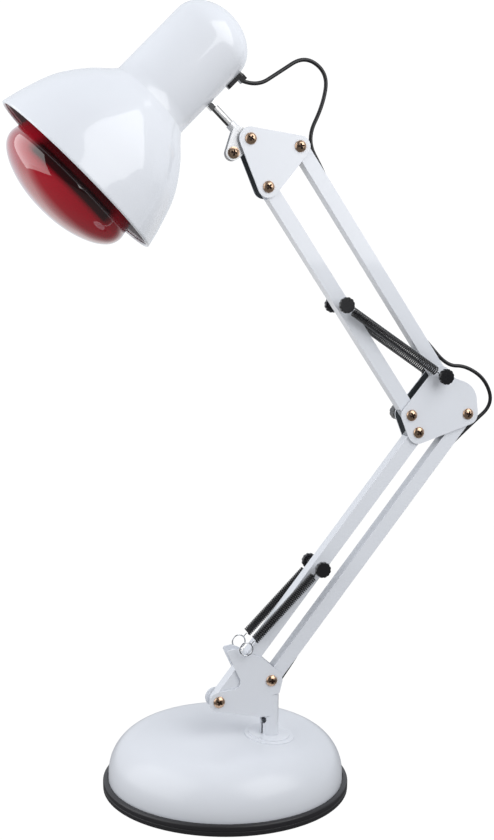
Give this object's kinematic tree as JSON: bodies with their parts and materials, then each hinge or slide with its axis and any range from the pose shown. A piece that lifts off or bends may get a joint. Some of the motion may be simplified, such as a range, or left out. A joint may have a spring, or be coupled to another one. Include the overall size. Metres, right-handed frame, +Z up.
{
  "type": "infrared heat therapy lamp",
  "caption": "Infrared heat therapy desk lamp: red reflector bulb in a tilting bell shade on a spring-balanced double-parallelogram arm over a weighted round swivel base.",
  "frame": {"origin": "centre of the base ring's underside, on the surface the lamp stands on", "axes": "+Z up, +X towards the elbow's side of the arm plane, -Y towards the viewer's side, with the screw heads"},
  "size_m": [0.4519, 0.2899, 0.7056],
  "materials": {
    "gloss_white": "gloss white paint",
    "black_rubber": "satin black rubber",
    "cast_ballast": "rough casting",
    "zinc_steel": "zinc plated",
    "brass": "brushed brass",
    "chrome": "polished",
    "black_steel": "blackened spring steel",
    "red_glass": "glossy deep red",
    "porcelain": "glazed",
    "nylon": "matte",
    "black_cord": "satin black sheath",
    "black_plastic": "satin black"
  },
  "bodies": {
    "base": {"base_shell": "gloss_white", "base_foot_ring": "black_rubber", "base_socket": "gloss_white", "base_bottom_plate": "zinc_steel", "base_weight": "cast_ballast", "base_grommet": "black_rubber", "base_lead": "black_cord", "mains_lead_first": "black_cord", "mains_lead_second": "black_cord", "mains_lead_tail": "black_cord", "mains_lead_coil": "black_cord", "switch_case": "black_plastic", "mains_plug": "black_plastic", "plug_pins": "chrome"},
    "rocker": {"switch_rocker": "black_plastic"},
    "bracket": {"neck_bracket": "gloss_white", "bracket_screws": "brass", "bracket_nuts": "chrome", "neck_collar": "zinc_steel", "neck_lead": "black_cord"},
    "lower_left": {"lower_left_bar": "gloss_white", "lower_left_bushes": "nylon", "lower_spring_pin": "chrome", "lower_pin_knobs": "black_plastic", "lower_spring_near": "black_steel", "lower_spring_far": "black_steel"},
    "lower_right": {"lower_right_bar": "gloss_white", "lower_right_bushes": "nylon", "lower_bar_lead": "black_cord"},
    "elbow": {"elbow_plates": "gloss_white", "elbow_screws": "brass", "elbow_nuts": "chrome", "elbow_spring_pin": "chrome", "elbow_pin_knobs": "black_plastic", "elbow_loop_lead": "black_cord"},
    "tension_knob": {"elbow_tension_knob": "black_plastic"},
    "upper_right": {"upper_right_bar": "gloss_white", "upper_right_bushes": "nylon", "upper_bar_lead": "black_cord"},
    "upper_left": {"upper_left_bar": "gloss_white", "upper_left_bushes": "nylon", "upper_spring_pin": "chrome", "upper_pin_knobs": "black_plastic", "upper_spring_near": "black_steel", "upper_spring_far": "black_steel"},
    "head": {"head_plates": "gloss_white", "head_screws": "brass", "head_nuts": "chrome"},
    "knuckle": {"shade_knuckle": "zinc_steel", "knuckle_screw": "brass", "knuckle_nut": "chrome"},
    "shade": {"lamp_shade": "gloss_white", "bulb_glass": "red_glass", "bulb_cap": "brass", "lamp_holder": "porcelain", "holder_strap": "zinc_steel", "shade_rod": "chrome", "rod_nuts": "chrome", "lead_clip": "black_plastic", "head_loop_lead": "black_cord"}
  },
  "joints": [
    {"name": "base_swivel", "type": "hinge", "parent": "base", "child": "bracket", "pos_m": [0.033, -0.031, 0.06], "axis": [0, 0, 1], "range_deg": [-170, 170]},
    {"name": "lower_arm", "type": "hinge", "parent": "bracket", "child": "lower_right", "pos_m": [0.0324, -0.031, 0.1098], "axis": [0, -1, 0], "range_deg": [-15, 45], "deforming": ["neck_lead"]},
    {"name": "lower_link", "type": "hinge", "parent": "bracket", "child": "lower_left", "pos_m": [-0.0166, -0.031, 0.0935], "axis": [0, -1, 0], "range_deg": [-15, 45], "deforming": ["lower_spring_near", "lower_spring_far"]},
    {"name": "elbow_level", "type": "hinge", "parent": "lower_right", "child": "elbow", "pos_m": [0.2201, -0.031, 0.3497], "axis": [0, -1, 0], "range_deg": [-45, 15], "deforming": ["elbow_loop_lead"]},
    {"name": "tension_knob_turn", "type": "hinge", "parent": "elbow", "child": "tension_knob", "pos_m": [0.1638, -0.0175, 0.3494], "axis": [0, 1, 0], "continuous": true},
    {"name": "upper_arm", "type": "hinge", "parent": "elbow", "child": "upper_right", "pos_m": [0.1924, -0.031, 0.3852], "axis": [0, -1, 0], "range_deg": [-30, 35], "deforming": ["elbow_loop_lead"]},
    {"name": "upper_link", "type": "hinge", "parent": "elbow", "child": "upper_left", "pos_m": [0.1638, -0.031, 0.3494], "axis": [0, -1, 0], "range_deg": [-30, 35], "deforming": ["upper_spring_near", "upper_spring_far"]},
    {"name": "head_level", "type": "hinge", "parent": "upper_right", "child": "head", "pos_m": [0.0534, -0.031, 0.5873], "axis": [0, -1, 0], "range_deg": [-35, 30], "deforming": ["head_loop_lead"]},
    {"name": "shade_tilt", "type": "hinge", "parent": "head", "child": "knuckle", "pos_m": [0.0084, -0.031, 0.5922], "axis": [0, -1, 0], "range_deg": [-35, 60], "deforming": ["head_loop_lead"]},
    {"name": "shade_swivel", "type": "hinge", "parent": "knuckle", "child": "shade", "pos_m": [-0.0525, -0.031, 0.6475], "axis": [0.7196, 0, -0.6944], "range_deg": [-60, 60], "deforming": ["head_loop_lead"]},
    {"name": "switch_flip", "type": "hinge", "parent": "base", "child": "rocker", "pos_m": [-0.01426, 0.14484, 0.0126], "axis": [-0.1203, -0.9927, 0], "range_deg": [-14, 0]}
  ],
  "couplings": [
    {"joint": "lower_link", "follows": "lower_arm", "ratio": 1},
    {"joint": "elbow_level", "follows": "lower_arm", "ratio": -1},
    {"joint": "upper_link", "follows": "upper_arm", "ratio": 1},
    {"joint": "head_level", "follows": "upper_arm", "ratio": -1}
  ]
}
